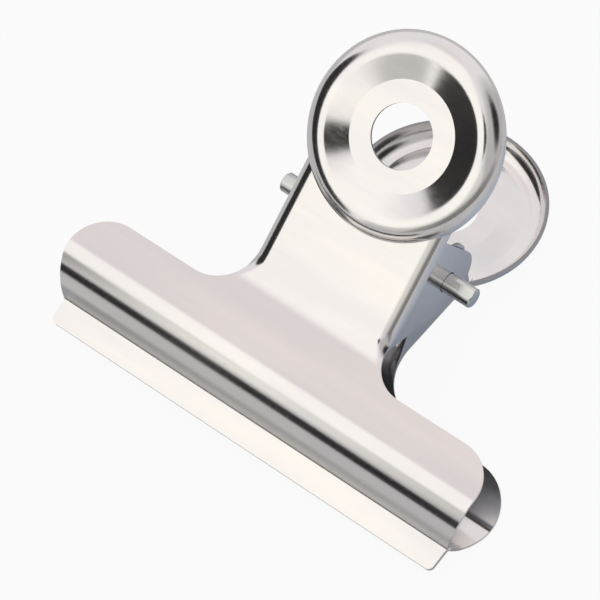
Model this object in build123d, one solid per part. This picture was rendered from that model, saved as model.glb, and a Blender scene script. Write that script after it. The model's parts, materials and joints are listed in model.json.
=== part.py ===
from build123d import *

# Round-handled steel bulldog clip, jaws shut, lying on its back half.
# Two one-piece stampings nest on a hinge pin, and a wire torsion spring on
# the pin holds the jaws shut.  Lengths in mm, angles in degrees.
# Each half is drawn with the pin on the X axis, the handles up (+Z) and its
# outside towards +Y; the front half is the mirror image, laid over the back.

import os
from math import asin, atan2, cos, degrees, hypot, pi, radians, sin, sqrt, tan

os.makedirs("parts", exist_ok=True)

# Sheet and nesting
sheet = 0.5
nest_gap = 0.1              # between the outer and the inner flanges
lip_gap = 0.1               # between the two shut lips

# Jaw: a half tube with a flat lip along its foot
jaw_length = 75.0
lip_height = 3.8
lip_taper = 0.25            # how far each lip end draws in at the bottom
lip_corner = 0.9
fold_draw = 1.5             # how far each jaw end draws in at the fold
pin_to_fold = 33.4
fold_radius = 0.3
belly_rise = 14.0           # slope of the tube where it leaves the lip
belly_radius = 11.7
belly_turn = 42.5
crest_radius = 3.25
face_lean = 14.4            # upper face, from upright
pin_to_wing_top = 19.4
wing_corner = 6.3

# Neck: a flat strip with both sides bent back as flanges
splay = 21.4                # neck, from the middle plane
neck_reach = 10.6           # pin axis to the outside of the neck
neck_width = 25.4           # across the outer half's flanges
neck_bend = 2.4             # outside radius of the flange bends
waist_radius = 7.0
flare_radius = 6.2
bend_strip = 2.2            # depth of the bend left above and below the ears

# Ear: the lobe of each flange that the pin goes through
ear_radius = 5.4
ear_behind = 1.4            # lobe centre, past the pin from the neck
ear_rise = 0.3
ear_top = 7.1               # along the neck, where the ear's top edge starts

# Handle: a dished round with a hole
handle_height = 17.5        # pin to handle centre, along the neck
handle_diameter = 31.4
hole_diameter = 9.9
ring_diameter = 16.8        # flat ring round the hole
ring_height = 0.8           # above the neck's outside
rim_radius = 3.0
rim_drop = 1.0              # rim edge, below the neck's outside

# Hinge pin
pin_diameter = 3.2
pin_length = 35.4
pin_chamfer = 0.25
pin_running = 0.12          # radial clearance in the front ears
pin_seat = 0.02             # radial clearance in the back ears
pinch_length = 2.6          # end of the pin squeezed between two flats
pinch_depth = 0.18

# Torsion spring
wire = 1.8
coil_clearance = 0.4        # round the pin
coil_gap = 0.65             # between turns
coil_turns = 3              # whole turns before the legs' splay is taken off
leg_clearance = 0.1         # wire to the inside of the neck
leg_bend = 2.4
leg_tip = 3.6               # along the neck, above the pin

sine = sin(radians(splay))
cosine = cos(radians(splay))
neck_top = handle_height - ring_diameter / 2
flange_face = neck_width / 2
pin_radius = pin_diameter / 2
rim_centre = handle_diameter / 2 - rim_radius
cut = 200.0


def along_neck(along, out):
    """Side-view point from its place along the neck and out from the pin."""
    return Vector(along * sine + out * cosine, along * cosine - out * sine)


def side_view(face, half_width):
    """A side-view face carried sideways to both ends."""
    return extrude(Plane.YZ * face, half_width, both=True)


def front_view(face):
    """A front-view face carried through from front to back."""
    return extrude(Plane.XZ * face, cut, both=True)


def profile(inset):
    """Side view of the sheet's outside, or of a surface behind it, lip to handle."""
    lip_face = lip_gap / 2 + sheet - inset
    lip = Line((lip_face, -pin_to_fold - lip_height), (lip_face, -pin_to_fold))
    fold = JernArc(lip @ 1, (0, 1), fold_radius + inset, belly_rise - 90)
    belly = JernArc(fold @ 1, fold % 1, belly_radius - inset, belly_turn)
    crest = JernArc(belly @ 1, belly % 1, crest_radius - inset, 90 + face_lean - belly_rise - belly_turn)
    lean = crest % 1
    to_neck = along_neck(0, neck_reach - inset) - crest @ 1
    corner = (to_neck.X * cosine - to_neck.Y * sine) / (lean.X * cosine - lean.Y * sine)
    waist = waist_radius + inset
    straight = corner - waist * tan(radians(face_lean + splay) / 2)
    face = Line(crest @ 1, crest @ 1 + lean * straight)
    bend = JernArc(face @ 1, lean, waist, -face_lean - splay)
    neck = Line(bend @ 1, along_neck(neck_top, neck_reach - inset))
    return [lip, fold, belly, crest, face, bend, neck]


def between(outside, inside):
    """The face between two runs of lines that both go upwards."""
    start = Line(inside[0] @ 0, outside[0] @ 0)
    end = Line(outside[-1] @ 1, inside[-1] @ 1)
    return make_face([start, *outside, end, *inside])


def flared(edge, flare, foot, far):
    """Front view of a neck that widens in two round flares to a line at its foot."""
    right = [
        Line((far, -cut), (far, foot)),
        Line((far, foot), (edge + flare, foot)),
        JernArc((edge + flare, foot), (-1, 0), flare, -90),
        Line((edge, foot + flare), (edge, cut)),
    ]
    left = [mirror(line, Plane.YZ) for line in right]
    ends = [Line(right[0] @ 0, left[0] @ 0), Line(right[-1] @ 1, left[-1] @ 1)]
    return front_view(make_face([*right, *left, *ends]))


def neck_block(side, inset):
    """Filled block behind the neck and its flares, its front edges rounded."""
    far = side + flare_radius + 12
    outer = profile(inset)[4:]
    low, high = outer[0] @ 0, outer[-1] @ 1
    rear = Polyline(high, along_neck(neck_top, -25), (-25, low.Y), low)
    block = side_view(make_face([*outer, rear]), far)
    foot = -pin_to_wing_top + neck_bend - inset
    block &= flared(side - inset, flare_radius + inset, foot, far)
    front = Wire(outer)
    runs = [e for e in block.edges() if on_front(e, front, side - inset)]
    return fillet(runs, neck_bend - inset)


def on_front(edge, front, side):
    """True for the edges where the front surface meets the flange side."""
    places = [edge.position_at(t) for t in (0.05, 0.5, 0.95)]
    return all(
        abs(p.X) > side - 0.001 and front.distance_to(Vertex(p.Y, p.Z, 0)) < 0.01
        for p in places
    ) and not all(abs(p.X) > side + flare_radius + 11 for p in places)


def ear_outline():
    """Side view of the ear: a lobe round the pin, drawn out to the neck."""
    lobe = Pos(-ear_behind, ear_rise) * CenterArc((0, 0), ear_radius, 0, 360)
    top = along_neck(ear_top, neck_reach)
    slope = ear_rise - ear_behind - ear_radius * sqrt(2)
    foot = profile(0)[5] @ 0.35
    low = Vector(foot.X, slope - foot.X)
    return make_hull([lobe, Line(top, along_neck(0, neck_reach + 1)), Line(low, foot + Vector(0.5, 0))])


def stamped_half(side, pin_hole):
    """One half, stamped and bent from a single sheet; side is its flange face."""
    strip = between(profile(0), profile(sheet))
    half_jaw = jaw_length / 2
    fold_end = (half_jaw - fold_draw, -pin_to_fold)
    lip_end = (fold_end[0] - lip_taper, fold_end[1] - lip_height)
    top = Line((0, -pin_to_wing_top), (half_jaw - wing_corner, -pin_to_wing_top))
    corner = JernArc(top @ 1, (1, 0), wing_corner, -90)
    end = TangentArc(corner @ 1, fold_end, tangent=(0, -1))
    lip = FilletPolyline(fold_end, lip_end, (0, lip_end[1]), radius=lip_corner)
    right = [top, corner, end, lip]
    blank = make_face([*right, *[mirror(line, Plane.YZ) for line in right]])
    jaw = side_view(strip, half_jaw) & front_view(blank)

    kept = between(profile(0)[4:], profile(bend_strip)[4:]) + ear_outline()
    channel = neck_block(side, 0) - neck_block(side, sheet)
    channel &= side_view(kept, side + flare_radius)
    channel &= flared(side, flare_radius, -pin_to_wing_top, half_jaw)
    channel -= Rot(Y=90) * Cylinder(pin_hole, cut)

    centre = along_neck(handle_height, neck_reach)
    place = Plane((0, centre.X, centre.Y), x_dir=(1, 0, 0), z_dir=(0, cosine, -sine))
    channel -= place * Cylinder(handle_diameter / 2 - sheet / 2, 2 * bend_strip + sheet)
    width = side - neck_bend
    relief = Pos(0, handle_height - ear_top / 2, -sheet - 2) * Box(2 * width, ear_top, 4)
    dish = place * (handle() - relief)
    return jaw + channel + dish


def handle():
    """The dished round handle, its hole on the Z axis, the neck's outside at Z = 0."""
    def section(inset):
        ring, rise = ring_diameter / 2, ring_height - inset
        radius = rim_radius - inset
        reach = hypot(rim_centre - ring, rise + rim_drop)
        climb = asin(radius / reach) - atan2(rise + rim_drop, rim_centre - ring)
        touch = Vector(rim_centre - radius * sin(climb), radius * cos(climb) - rim_drop)
        flat = Line((hole_diameter / 2, rise), (ring, rise))
        cone = Line((ring, rise), touch)
        rim = CenterArc((rim_centre, -rim_drop), radius, 90 + degrees(climb), -90 - degrees(climb))
        return [flat, cone, rim]

    return revolve(Plane.XZ * between(section(0), section(sheet)), Axis.Z)


def hinge_pin():
    """Plain round pin, both ends chamfered and squeezed flat to keep it in."""
    pin = Rot(Y=90) * chamfer(Cylinder(pin_radius, pin_length).edges(), pin_chamfer)
    for end in (-1, 1):
        for face in (-1, 1):
            x = end * (pin_length - pinch_length) / 2
            y = face * (2 * pin_radius - pinch_depth)
            pin -= Pos(x, y, 0) * Box(pinch_length, 2 * pin_radius, 2 * pin_diameter)
    return pin


def biarc(start, tangent, end, end_tangent):
    """Two arcs that join two points smoothly."""
    gap = end - start
    both = tangent + end_tangent
    a, b, c = 2 * (1 - tangent.dot(end_tangent)), 2 * gap.dot(both), -gap.dot(gap)
    reach = (-b + sqrt(b * b - 4 * a * c)) / (2 * a)
    first, last = start + tangent * reach, end - end_tangent * reach
    middle = (first + last) / 2
    one = TangentArc(start, middle, tangent=tangent)
    return [one, TangentArc(middle, end, tangent=one % 1)]


def spring_path():
    """Centre line of the spring, from the front leg's tip to the back leg's."""
    radius = pin_radius + coil_clearance + wire / 2
    turn = 2 * pi * coil_turns - 2 * radians(splay)
    pitch = wire + coil_gap
    first = radians(splay) - pi / 2
    half_run = pitch * turn / (4 * pi)
    quarters = 4 * coil_turns
    slope = Vector(pitch / (2 * pi), 0, 0)

    def coil(step):
        angle = first + turn * step / quarters
        place = Vector(pitch * turn * step / quarters / (2 * pi), radius * cos(angle), radius * sin(angle))
        heading = Vector(0, -radius * sin(angle), radius * cos(angle))
        if 0 < step < quarters:
            heading += slope
        return place - Vector(half_run, 0, 0), heading.normalized()

    def leg(x, mirrored):
        out = neck_reach - sheet - leg_clearance - wire / 2
        corners = [(-radius, 0), (-radius, out), (leg_tip, out)]
        points = [along_neck(*corner) for corner in corners]
        return FilletPolyline(*[(x, mirrored * p.X, p.Y) for p in points], radius=leg_bend)

    path = list(leg(-half_run, -1).edges())
    for step in range(quarters):
        path += biarc(*coil(step), *coil(step + 1))
    return Wire([*path, *leg(half_run, 1).edges()])


def least_gap(path):
    """Smallest clear distance between separate turns of the wire, on points."""
    count = 900
    points = [path.position_at(i / count) for i in range(count + 1)]
    apart = int(3 * wire / path.length * count) + 1
    nearest = min(
        (points[i] - points[j]).length
        for i in range(count)
        for j in range(i + apart, count + 1)
    )
    return nearest - wire


def torsion_spring():
    """One unbroken wire: a leg up each neck and the turns round the pin between them."""
    path = spring_path()
    print("spring, least gap to itself", round(least_gap(path), 3))
    return sweep(Plane(path @ 0, z_dir=path % 0) * Circle(wire / 2), path)


# The clip lies on the back jaw's crest and the back handle's rim
crest = profile(0)[3]
jaw_centre = crest.arc_center
rim_point = along_neck(handle_height + rim_centre, neck_reach - rim_drop)
apart = rim_point - Vector(jaw_centre.X, jaw_centre.Y)
tilt = degrees(atan2(apart.X, apart.Y) + asin((rim_radius - crest_radius) / apart.length))
lying = Rot(X=tilt - 90)
inner_side = flange_face - sheet - nest_gap
upright = {
    "back_half": stamped_half(inner_side, pin_radius + pin_seat),
    "front_half": mirror(stamped_half(flange_face, pin_radius + pin_running), Plane.XZ),
    "hinge_pin": hinge_pin(),
    "torsion_spring": torsion_spring(),
}
laid = {name: lying * shape for name, shape in upright.items()}
box = Compound(list(laid.values())).bounding_box()
middle = box.center()
ground = Pos(-middle.X, -middle.Y, -box.min.Z)
print("lying tilt", round(tilt, 3), "pin axis at", ground.position)
for name, shape in laid.items():
    export_step(ground * shape, f"parts/{name}.step")
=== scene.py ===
import json
from math import asin, cos, pi, radians, sin

import bmesh
import bpy
from mathutils import Matrix, Vector


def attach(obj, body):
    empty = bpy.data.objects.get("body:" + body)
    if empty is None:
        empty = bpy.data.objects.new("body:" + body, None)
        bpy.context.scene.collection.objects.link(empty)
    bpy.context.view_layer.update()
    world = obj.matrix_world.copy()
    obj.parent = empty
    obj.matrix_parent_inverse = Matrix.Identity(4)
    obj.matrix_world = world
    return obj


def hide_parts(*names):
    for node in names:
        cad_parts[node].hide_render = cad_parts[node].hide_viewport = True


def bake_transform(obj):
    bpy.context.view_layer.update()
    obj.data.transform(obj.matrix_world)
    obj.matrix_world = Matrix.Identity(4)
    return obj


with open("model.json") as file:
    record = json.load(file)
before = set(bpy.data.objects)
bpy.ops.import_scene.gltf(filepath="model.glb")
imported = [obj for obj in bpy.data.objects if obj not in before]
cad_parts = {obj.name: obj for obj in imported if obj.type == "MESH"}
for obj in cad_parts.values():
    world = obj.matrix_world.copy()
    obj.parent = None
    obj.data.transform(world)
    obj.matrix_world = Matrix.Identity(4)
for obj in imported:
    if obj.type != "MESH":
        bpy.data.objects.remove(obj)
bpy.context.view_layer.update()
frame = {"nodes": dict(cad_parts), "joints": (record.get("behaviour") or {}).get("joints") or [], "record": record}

# Back half.  One cold-rolled steel blank, cut, drawn and bent: a flat lip,
# a half-tube jaw, a neck with two flanges, and a dished round handle.
# It is nickel plated after forming; its cut edges stay duller than its faces.
SMOOTH_UNDER = radians(28)
MERGE_WITHIN = 1e-7
RING_DIAMETER = 0.0168
RING_NEAR = 0.00002
CUT_WIDTH = 0.0005
CUT_LEAST = 0.004
CUT_SHARE = 0.6
NICKEL_WARM = (0.875, 0.85, 0.82)
NICKEL_COOL = (0.79, 0.77, 0.775)
# Painted shade: the fold just above each lip is greyed, as if shade lay in the crease.
FOLD_PAINTED_SHADE = (0.55, 0.55, 0.56)
CUT_NICKEL = (0.30, 0.30, 0.31)
# Painted shade: the hollow inside each jaw is greyed away from its open ends, as if shade lay in it.
HOLLOW_PAINTED_SHADE = (0.40, 0.40, 0.41)
SHEET_ROUGHNESS = 0.13
SHEET_HAZE = 0.06
DULL_ROUGHNESS = 0.34
SPECK_ROUGHNESS = 0.04
ROLLING_LINES = (60, 2200, 2200)
SMEARS = (24, 150, 150)
SPECKS = 1500.0
SMEAR_TINT = (0.3, 0.7)
SMEAR_HAZE = (0.4, 0.8)
LINE_HAZE = (0.35, 0.75)
SPECK_SHARP = (0.62, 0.75)
SPECK_HEIGHT = 0.4
GRAIN_STRENGTH = 0.02
GRAIN_DEPTH = 0.00002
PIN_TO_FOLD = 0.0334
FOLD_OUT = 0.00055
FOLD_SHADE_AND_DULL_REACH = (0.00272, 0.00416)
FOLD_EDGE = 0.0002
HOLLOW_BELOW = 0.008
HOLLOW_FACING = -0.1
HOLLOW_SHADE_REACH = (0.0285, 0.0350)


class Signal:
    """An output socket of a node tree; arithmetic on signals adds Math nodes."""

    def __init__(self, tree, socket=None):
        self.tree, self.socket = tree, socket

    def node(self, kind, settings=(), sockets=(), output=0):
        """Adds a node: its settings first, then its sockets' values or links."""
        made = self.tree.nodes.new(kind)
        for name, value in dict(settings).items():
            setattr(made, name, value)
        for name, value in dict(sockets).items():
            if isinstance(value, Signal):
                self.tree.links.new(value.socket, made.inputs[name])
            else:
                made.inputs[name].default_value = value
        return Signal(self.tree, made.outputs[output])

    def maths(self, operation, first, second):
        return self.node("ShaderNodeMath", {"operation": operation}, {0: first, 1: second})

    def __add__(self, other):
        return self.maths("ADD", self, other)

    def __sub__(self, other):
        return self.maths("SUBTRACT", self, other)

    def __rsub__(self, other):
        return self.maths("SUBTRACT", other, self)

    def __mul__(self, other):
        return self.maths("MULTIPLY", self, other)

    __radd__ = __add__
    __rmul__ = __mul__

    def between(self, low, high):
        """0 at low, 1 at high, eased, and held outside them."""
        return self.node(
            "ShaderNodeMapRange",
            {"interpolation_type": "SMOOTHSTEP"},
            {"Value": self, "From Min": low, "From Max": high},
        )

    def tint(self, dark, light):
        """A colour that goes from dark to light with the signal; either may be a signal."""
        ends = [end if isinstance(end, Signal) else (*end, 1) for end in (dark, light)]
        sockets = {"Factor": self, "A": ends[0], "B": ends[1]}
        return self.node("ShaderNodeMix", {"data_type": "RGBA"}, sockets, output=2)

    def into(self, socket):
        """Links the signal to a socket of its tree."""
        self.tree.links.new(self.socket, socket)


def new_material(name):
    """An empty node material, the start of its signals and its shader."""
    material = bpy.data.materials.new(name)
    material.use_nodes = True
    shader = material.node_tree.nodes["Principled BSDF"]
    return material, Signal(material.node_tree), shader


def nickel_plate(name, warm, cool, roughness, haze, grain):
    """Bright nickel on steel: smears, lines of the worked metal, duller cut edges, and painted shade with more
    roughness in the folds and hollows.
    """
    material, nodes, shader = new_material(name)
    place = nodes.node("ShaderNodeTexCoord", output="Object")
    stretched = nodes.node("ShaderNodeMapping", {}, {"Vector": place, "Scale": grain})
    lines = nodes.node("ShaderNodeTexNoise", {}, {"Vector": stretched, "Scale": 1.0, "Detail": 4.0})
    drawn_out = nodes.node("ShaderNodeMapping", {}, {"Vector": place, "Scale": SMEARS})
    smear = nodes.node("ShaderNodeTexNoise", {}, {"Vector": drawn_out, "Scale": 1.0, "Detail": 5.0})
    specks = nodes.node("ShaderNodeTexNoise", {}, {"Vector": place, "Scale": SPECKS, "Detail": 2.0})
    cut = nodes.node("ShaderNodeAttribute", {"attribute_name": "cut_edge"}, output="Fac")
    fold, hollow = in_folds(nodes, place), in_hollow(nodes, place)
    # The fold and hollow tints are painted shade, greying the colour where shade would fall.
    colour = fold.tint(smear.between(*SMEAR_TINT).tint(cool, warm), FOLD_PAINTED_SHADE)
    hollow.tint(cut.tint(colour, CUT_NICKEL), HOLLOW_PAINTED_SHADE).into(shader.inputs["Base Color"])
    hazed = lines.between(*LINE_HAZE) * 0.5 + smear.between(*SMEAR_HAZE) * 0.5
    worn = roughness + hazed * haze + specks.between(*SPECK_SHARP) * SPECK_ROUGHNESS
    (worn + (cut + fold + hollow) * (DULL_ROUGHNESS - roughness)).into(shader.inputs["Roughness"])
    grained = nodes.node(
        "ShaderNodeBump",
        {},
        {"Strength": GRAIN_STRENGTH, "Distance": GRAIN_DEPTH, "Height": lines + specks * SPECK_HEIGHT},
    )
    grained.into(shader.inputs["Normal"])
    shader.inputs["Metallic"].default_value = 1.0
    return material


def in_folds(nodes, place):
    """1 on the jaws just above the lips, where the colour is darkened with painted shade in the fold and the metal
    is rougher, and 0 elsewhere.
    """
    fold_shade_and_dull = 0.0
    for side in (-1, 1):
        outside = side * backwards
        fold = pin - handles * PIN_TO_FOLD + outside * FOLD_OUT
        arm = nodes.node("ShaderNodeVectorMath", {"operation": "SUBTRACT"}, {0: place, 1: fold})
        arm = nodes.node("ShaderNodeVectorMath", {"operation": "MULTIPLY"}, {0: arm, 1: (0, 1, 1)})
        reach = nodes.node("ShaderNodeVectorMath", {"operation": "LENGTH"}, {0: arm}, output="Value")
        rise = nodes.node(
            "ShaderNodeVectorMath", {"operation": "DOT_PRODUCT"}, {0: arm, 1: outside}, output="Value"
        )
        fold_shade_and_dull = fold_shade_and_dull + rise.between(0.0, FOLD_EDGE) * (1 - reach.between(*FOLD_SHADE_AND_DULL_REACH))
    return fold_shade_and_dull


def in_hollow(nodes, place):
    """1 deep in the hollow of a jaw, where the colour is darkened with painted shade and the metal is rougher, and
    0 elsewhere.
    """
    inner = nodes.node("ShaderNodeAttribute", {"attribute_name": "inner_side"}, output="Fac")
    x = nodes.node("ShaderNodeSeparateXYZ", {}, {"Vector": place})
    return inner * (1 - (x * x).between(HOLLOW_SHADE_REACH[0] ** 2, HOLLOW_SHADE_REACH[1] ** 2))


def mark_hollow(build, outside):
    """Marks the hollow side of a half's jaw, from below the pin down to the fold, for the painted shade there."""
    mark = build.faces.layers.float.new("inner_side")
    for face in build.faces:
        below = (pin - face.calc_center_median()).dot(handles)
        facing = face.normal.dot(outside)
        face[mark] = float(HOLLOW_BELOW < below < PIN_TO_FOLD and facing < HOLLOW_FACING)


def crease_ring(build, hole):
    """Keeps the shallow edge of the flat ring round a half's hole crisp."""
    centre, axis = Vector(hole["pos_m"]), Vector(hole["axis"])

    def on_ring(vert):
        arm = vert.co - centre
        return abs((arm - axis * arm.dot(axis)).length - RING_DIAMETER / 2) < RING_NEAR

    for edge in build.edges:
        if all(map(on_ring, edge.verts)):
            edge.smooth = False


def mark_cut_edges(build):
    """Marks the narrow patches between creases, where the sheet was cut through."""
    mark = build.faces.layers.float.new("cut_edge")
    waiting = set(build.faces)
    while waiting:
        patch, front, rim = [], [waiting.pop()], 0.0
        while front:
            face = front.pop()
            patch.append(face)
            for edge in face.edges:
                if edge.smooth:
                    near = [other for other in edge.link_faces if other in waiting]
                    waiting.difference_update(near)
                    front.extend(near)
                else:
                    rim += edge.calc_length()
        area = sum(face.calc_area() for face in patch)
        if rim > CUT_LEAST and area < CUT_SHARE * CUT_WIDTH * rim:
            for face in patch:
                face[mark] = 1.0


def formed(node, material, hole=None, outside=None):
    """A smooth-shaded copy of a node's metal in its place, creased where it is cut or bent sharp."""
    mesh = frame["nodes"][node].data.copy()
    build = bmesh.new()
    build.from_mesh(mesh)
    bmesh.ops.remove_doubles(build, verts=build.verts, dist=MERGE_WITHIN)
    for face in build.faces:
        face.smooth = True
    for edge in build.edges:
        edge.smooth = edge.calc_face_angle(pi) < SMOOTH_UNDER
    if hole:
        mark_cut_edges(build)
        mark_hollow(build, outside)
        crease_ring(build, hole)
    build.to_mesh(mesh)
    build.free()
    mesh.materials.clear()
    mesh.materials.append(material)
    piece = bpy.data.objects.new(node + "_metal", mesh)
    bpy.context.scene.collection.objects.link(piece)
    weighted = piece.modifiers.new("flat faces stay flat", "WEIGHTED_NORMAL")
    weighted.mode = "FACE_AREA_WITH_ANGLE"
    weighted.keep_sharp = True
    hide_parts(node)
    return piece


holes = {mount["name"]: mount for mount in frame["record"]["mounts"]}
front_way = Vector(holes["front_hanging_hole"]["axis"])
back_way = Vector(holes["back_hanging_hole"]["axis"])
handles = -(front_way + back_way).normalized()
backwards = (back_way - front_way).normalized()
pin = Vector(frame["joints"][0]["pos_m"])
plated_sheet = nickel_plate(
    "plated sheet", NICKEL_WARM, NICKEL_COOL, SHEET_ROUGHNESS, SHEET_HAZE, ROLLING_LINES
)
back_half = formed("back_half", plated_sheet, holes["back_hanging_hole"], backwards)
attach(back_half, "back")

# Hinge pin.  A plain length of drawn steel rod pushed through the ears of
# both halves; its ends are squeezed so that it can't slide out again.
PIN_WARM = (0.78, 0.79, 0.76)
PIN_COOL = (0.40, 0.42, 0.44)
PIN_ROUGHNESS = 0.14
PIN_HAZE = 0.10
PIN_LINES = (90, 2600, 2600)

plated_pin = nickel_plate("plated pin", PIN_WARM, PIN_COOL, PIN_ROUGHNESS, PIN_HAZE, PIN_LINES)
hinge_pin = formed("hinge_pin", plated_pin)
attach(hinge_pin, "back")

# Torsion spring.  Drawn spring wire wound three times round the pin, with a
# leg up the inside of each neck.  The real one twists between its legs as the
# jaw opens; this wire is swept once and keeps its shape.
WIRE = 0.0018
COIL_RADIUS = 0.0029
COIL_PITCH = 0.00245
COIL_TURNS = 3
STEPS_A_TURN = 48
LEG_OUT = 0.0091
LEG_TIP = 0.0036
LEG_BEND = 0.0024
BEND_STEPS = 10
WIRE_SIDES = 24
SPRING_WARM = (0.50, 0.49, 0.47)
SPRING_COOL = (0.42, 0.43, 0.45)
SPRING_ROUGHNESS = 0.28
SPRING_HAZE = 0.12
SPRING_LINES = (400, 900, 900)


def spring_path():
    """Middle of the wire: the front leg from its tip, the turns, and the back leg to its tip."""
    splay = asin((front_way + back_way).length / 2)
    turn = 2 * pi * COIL_TURNS - 2 * splay
    half_run = COIL_PITCH * turn / (4 * pi)

    def place(x, back, up):
        return pin + Vector((x, 0, 0)) + backwards * back + handles * up

    def leg(x, side):
        bend = [pi / 2 * step / BEND_STEPS for step in range(BEND_STEPS + 1)]
        points = [
            (LEG_BEND * (1 - cos(a)) - COIL_RADIUS, LEG_OUT - LEG_BEND * (1 - sin(a))) for a in bend
        ] + [(LEG_TIP, LEG_OUT)]
        return [
            place(
                x,
                side * (along * sin(splay) + out * cos(splay)),
                along * cos(splay) - out * sin(splay),
            )
            for along, out in points
        ]

    def coil(share):
        angle = splay - pi / 2 + turn * share
        return place(half_run * (2 * share - 1), COIL_RADIUS * cos(angle), COIL_RADIUS * sin(angle))

    steps = COIL_TURNS * STEPS_A_TURN
    turns = [coil(step / steps) for step in range(steps + 1)]
    return [*reversed(leg(-half_run, -1)), *turns, *leg(half_run, 1)]


def wire_tree():
    """A node tree that makes a chain of edges into round wire."""
    tree = bpy.data.node_groups.new("wire along a path", "GeometryNodeTree")
    tree.is_modifier = True
    face = tree.interface
    face.new_socket("Path", in_out="INPUT", socket_type="NodeSocketGeometry")
    face.new_socket("Wire Diameter", in_out="INPUT", socket_type="NodeSocketFloat")
    face.new_socket("Sides", in_out="INPUT", socket_type="NodeSocketInt")
    face.new_socket("Finish", in_out="INPUT", socket_type="NodeSocketMaterial")
    face.new_socket("Wire", in_out="OUTPUT", socket_type="NodeSocketGeometry")
    nodes = Signal(tree)
    given = nodes.node("NodeGroupInput").socket.node.outputs
    path, diameter, sides, finish = (Signal(tree, given[index]) for index in range(4))
    curve = nodes.node("GeometryNodeMeshToCurve", {}, {"Mesh": path})
    round_section = nodes.node(
        "GeometryNodeCurvePrimitiveCircle", {}, {"Resolution": sides, "Radius": diameter * 0.5}
    )
    tube = nodes.node(
        "GeometryNodeCurveToMesh",
        {},
        {"Curve": curve, "Profile Curve": round_section, "Fill Caps": True},
    )
    real = nodes.node("GeometryNodeRealizeInstances", {}, {"Geometry": tube})
    finished = nodes.node("GeometryNodeSetMaterial", {}, {"Geometry": real, "Material": finish})
    finished.into(tree.nodes.new("NodeGroupOutput").inputs[0])
    return tree


spring_wire = nickel_plate(
    "spring wire", SPRING_WARM, SPRING_COOL, SPRING_ROUGHNESS, SPRING_HAZE, SPRING_LINES
)
points = spring_path()
chain = bpy.data.meshes.new("spring path")
chain.from_pydata(points, [(i, i + 1) for i in range(len(points) - 1)], [])
drawn = bpy.data.objects.new("spring path", chain)
bpy.context.scene.collection.objects.link(drawn)
sweep = drawn.modifiers.new("wire", "NODES")
sweep.node_group = wire_tree()
sizes = {"Wire Diameter": WIRE, "Sides": WIRE_SIDES, "Finish": spring_wire}
for item in sweep.node_group.interface.items_tree:
    if item.name in sizes:
        sweep[item.identifier] = sizes[item.name]
evaluated = drawn.evaluated_get(bpy.context.evaluated_depsgraph_get())
wire_mesh = bpy.data.meshes.new_from_object(evaluated)
bpy.data.objects.remove(drawn)
wire_mesh.shade_smooth()
wire_mesh.set_sharp_from_angle(angle=SMOOTH_UNDER)
torsion_spring = bpy.data.objects.new("torsion_spring_wire", wire_mesh)
bpy.context.scene.collection.objects.link(torsion_spring)
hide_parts("torsion_spring")
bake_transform(torsion_spring)

# Front half.  The same stamping as the back one, a little wider across its
# flanges, so that its ears close over the back half's on the pin.
front_half = formed("front_half", plated_sheet, holes["front_hanging_hole"], -backwards)
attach(front_half, "front")

# Floor.  A plain pale table, white to the eye, that keeps the clip's shadow,
# with two cards that only reflections show: a black strip standing before the
# lips and a blue-grey sheet on the right.
FLOOR_HALF = 1.2
MATT_ROUGHNESS = 0.9
FLOOR_PALE = (0.64, 0.65, 0.67)
FLOOR_WHITE = 0.93
FLOOR_IN_METAL = 0.16
STRIP_LEFT, STRIP_RIGHT = -0.062, 0.030
STRIP_AWAY = -0.070
STRIP_HEIGHT = 0.0112
STRIP_BLACK = (0.02, 0.02, 0.022)
SHEET_LEFT, SHEET_RIGHT = 0.0135, 0.090
SHEET_NEAR, SHEET_FAR = -0.010, 0.080
SHEET_LIFT = 0.0002
SHEET_BLUE = (0.60, 0.68, 0.80)


def stage_sheet(name, corners, material):
    """A flat four-cornered sheet on the stage."""
    mesh = bpy.data.meshes.new(name)
    mesh.from_pydata(corners, [], [(0, 1, 2, 3)])
    mesh.materials.append(material)
    sheet = bpy.data.objects.new(name, mesh)
    bpy.context.scene.collection.objects.link(sheet)
    return sheet


def matt(name, colour):
    """A matt paint of one colour."""
    material, nodes, shader = new_material(name)
    shader.inputs["Base Color"].default_value = (*colour, 1)
    shader.inputs["Roughness"].default_value = MATT_ROUGHNESS
    shader.inputs["Specular IOR Level"].default_value = 0.0
    return material, nodes, shader


def card(name, corners, colour):
    """A matt card that only reflections show."""
    sheet = stage_sheet(name, corners, matt(name, colour)[0])
    for ray in ("camera", "diffuse", "transmission", "shadow"):
        setattr(sheet, "visible_" + ray, False)


floor_paint, nodes, shader = matt("pale floor", FLOOR_PALE)
seen = nodes.node("ShaderNodeLightPath", output="Is Camera Ray")
mirrored = nodes.node("ShaderNodeLightPath", output="Is Glossy Ray")
white = nodes.node("ShaderNodeEmission", {}, {"Color": (1, 1, 1, 1), "Strength": 1.0})
lit = Signal(nodes.tree, shader.outputs["BSDF"])
share = seen * FLOOR_WHITE + mirrored * FLOOR_IN_METAL
nodes.node("ShaderNodeMixShader", {}, {0: share, 1: lit, 2: white}).into(
    nodes.tree.nodes["Material Output"].inputs["Surface"]
)
quarters = ((-1, -1), (1, -1), (1, 1), (-1, 1))
stage_sheet("floor", [(x * FLOOR_HALF, y * FLOOR_HALF, 0) for x, y in quarters], floor_paint)
card(
    "black strip",
    [
        (STRIP_LEFT, STRIP_AWAY, 0),
        (STRIP_RIGHT, STRIP_AWAY, 0),
        (STRIP_RIGHT, STRIP_AWAY, STRIP_HEIGHT),
        (STRIP_LEFT, STRIP_AWAY, STRIP_HEIGHT),
    ],
    STRIP_BLACK,
)
card(
    "blue sheet",
    [
        (SHEET_LEFT, SHEET_NEAR, SHEET_LIFT),
        (SHEET_RIGHT, SHEET_NEAR, SHEET_LIFT),
        (SHEET_RIGHT, SHEET_FAR, SHEET_LIFT),
        (SHEET_LEFT, SHEET_FAR, SHEET_LIFT),
    ],
    SHEET_BLUE,
)

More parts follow.
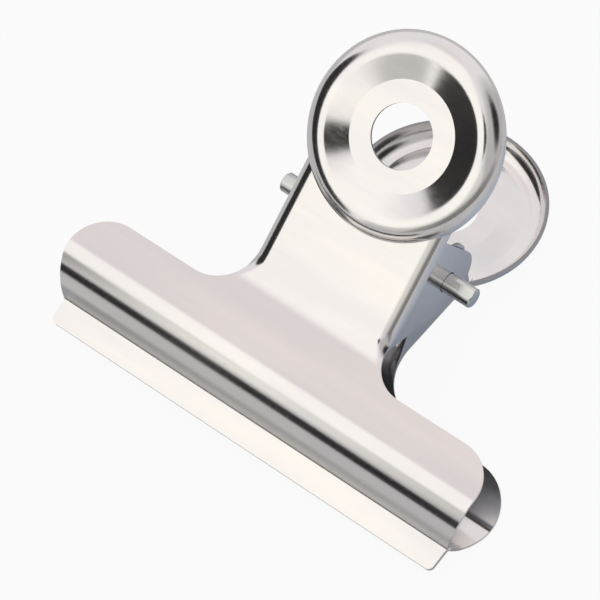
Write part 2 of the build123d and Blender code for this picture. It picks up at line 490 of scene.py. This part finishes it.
# Light.  A white tent over the table: brightest over and before the clip, greyer
# to the right, with a dark doorway low on the left and a gap behind on the right.
TENT_PINK = (1.0, 0.935, 0.93)
TENT_LILAC = (1.0, 0.97, 0.985)
TENT_CREAM = (1.0, 0.98, 0.94)
PINK_WAY = (-0.34, 0.30, 0.89)
PINK_SPREAD = (8, 18)
DOORWAY = (-0.80, -0.58, 0.12)
DOORWAY_SPREAD = (28.5, 32)
DOORWAY_LOSS = 0.97
GAP_WAY = (0.73, 0.36, 0.58)
GAP_SPREAD = (10, 26)
GAP_LOSS = 0.95
LENS_WAY = (0.16, -0.52, 0.84)
LENS_SPREAD = (6, 9)
TENT_LEVEL = 0.90
OVERHEAD_GAIN = 0.24
OVERHEAD_BACK = (-0.12, 0.30)
OVERHEAD_LEFT = (-0.75, -0.4)
CORNER_ACROSS = (-0.1, 0.12)
CORNER_ALONG = (-0.62, -0.42)
PINK_LOSS = 0.03
RIGHT_LOSS = 0.36
RIGHT_SIDE = (0.12, 0.45)
HORIZON_LEVEL = 0.66
HORIZON_BAND = (-0.12, 0.15)
LOW_FRONT_LOSS = 0.46
LOW_FRONT_ACROSS = (-0.36, -0.27)
LOW_FRONT_HEIGHT = (0.25, 0.5)
LOW_FRONT_ALONG = (-0.6, -0.2)
LOW_RIGHT_LOSS = 0.45
LOW_RIGHT_ACROSS = (-0.02, 0.06)
LOW_RIGHT_HEIGHT = (0.26, 0.33)
LOW_RIGHT_ALONG = (-0.2, 0.3)

world = bpy.data.worlds.new("tent")
bpy.context.scene.world = world
world.use_nodes = True
nodes = Signal(world.node_tree)
way = nodes.node("ShaderNodeTexCoord", output="Generated")


def towards(*direction):
    """How squarely a ray goes in a direction, from -1 to 1."""
    return nodes.node(
        "ShaderNodeVectorMath", {"operation": "DOT_PRODUCT"}, {0: way, 1: direction}, output="Value"
    )


def spot(direction, inner, outer):
    """1 within an angle of a direction, easing to 0 at a wider one."""
    square = towards(*Vector(direction).normalized())
    return square.between(cos(radians(outer)), cos(radians(inner)))


across, along, height = towards(1, 0, 0), towards(0, 1, 0), towards(0, 0, 1)
bright = (1 - along.between(*OVERHEAD_BACK)) * across.between(*OVERHEAD_LEFT)
bright = bright * (1 - across.between(*CORNER_ACROSS) * along.between(*CORNER_ALONG))
pink = spot(PINK_WAY, *PINK_SPREAD) * (1 - bright)
low_front = across.between(*LOW_FRONT_ACROSS) * (1 - height.between(*LOW_FRONT_HEIGHT))
low_front = low_front * (1 - along.between(*LOW_FRONT_ALONG))
low_right = across.between(*LOW_RIGHT_ACROSS) * (1 - height.between(*LOW_RIGHT_HEIGHT))
low_right = low_right * (1 - along.between(*LOW_RIGHT_ALONG))
tent = TENT_LEVEL + bright * OVERHEAD_GAIN - pink * PINK_LOSS
tent = tent - across.between(*RIGHT_SIDE) * RIGHT_LOSS
tent = tent * (HORIZON_LEVEL + height.between(*HORIZON_BAND) * (1 - HORIZON_LEVEL))
tent = tent * (1 - low_front * LOW_FRONT_LOSS) * (1 - low_right * LOW_RIGHT_LOSS)
tent = tent * (1 - spot(DOORWAY, *DOORWAY_SPREAD) * DOORWAY_LOSS)
tent = tent * (1 - spot(GAP_WAY, *GAP_SPREAD) * GAP_LOSS)
tent = tent * (1 - spot(LENS_WAY, *LENS_SPREAD))
colour = bright.tint(pink.tint(TENT_LILAC, TENT_PINK), TENT_CREAM)
lining = nodes.node("ShaderNodeBackground", {}, {"Color": colour, "Strength": tent})
plain = nodes.node("ShaderNodeBackground", {}, {"Color": (1, 1, 1, 1), "Strength": 1.0})
seen = nodes.node("ShaderNodeLightPath", output="Is Camera Ray")
nodes.node("ShaderNodeMixShader", {}, {0: seen, 1: lining, 2: plain}).into(
    world.node_tree.nodes["World Output"].inputs["Surface"]
)

# Camera.  The photograph's view: from the right of the lips and well above,
# through a long lens, turned a little clockwise.
AIM = Vector((-0.00480, -0.01161, 0.01145))
DISTANCE = 0.5477
AZIMUTH = radians(43.98)
ELEVATION = radians(59.92)
ROLL = radians(7.28)
FOCAL_LENGTH = 220.17
SENSOR_WIDTH = 36
CLIP_START = 0.01

turn = (
    Matrix.Rotation(AZIMUTH, 4, "Z")
    @ Matrix.Rotation(pi / 2 - ELEVATION, 4, "X")
    @ Matrix.Rotation(-ROLL, 4, "Z")
)
lens = bpy.data.cameras.new("camera")
lens.sensor_width = SENSOR_WIDTH
lens.lens = FOCAL_LENGTH
lens.clip_start = CLIP_START
camera = bpy.data.objects.new("camera", lens)
camera.matrix_world = Matrix.Translation(AIM + turn.to_3x3() @ Vector((0, 0, DISTANCE))) @ turn
bpy.context.scene.collection.objects.link(camera)
bpy.context.scene.camera = camera
bpy.context.scene.view_settings.view_transform = "Standard"
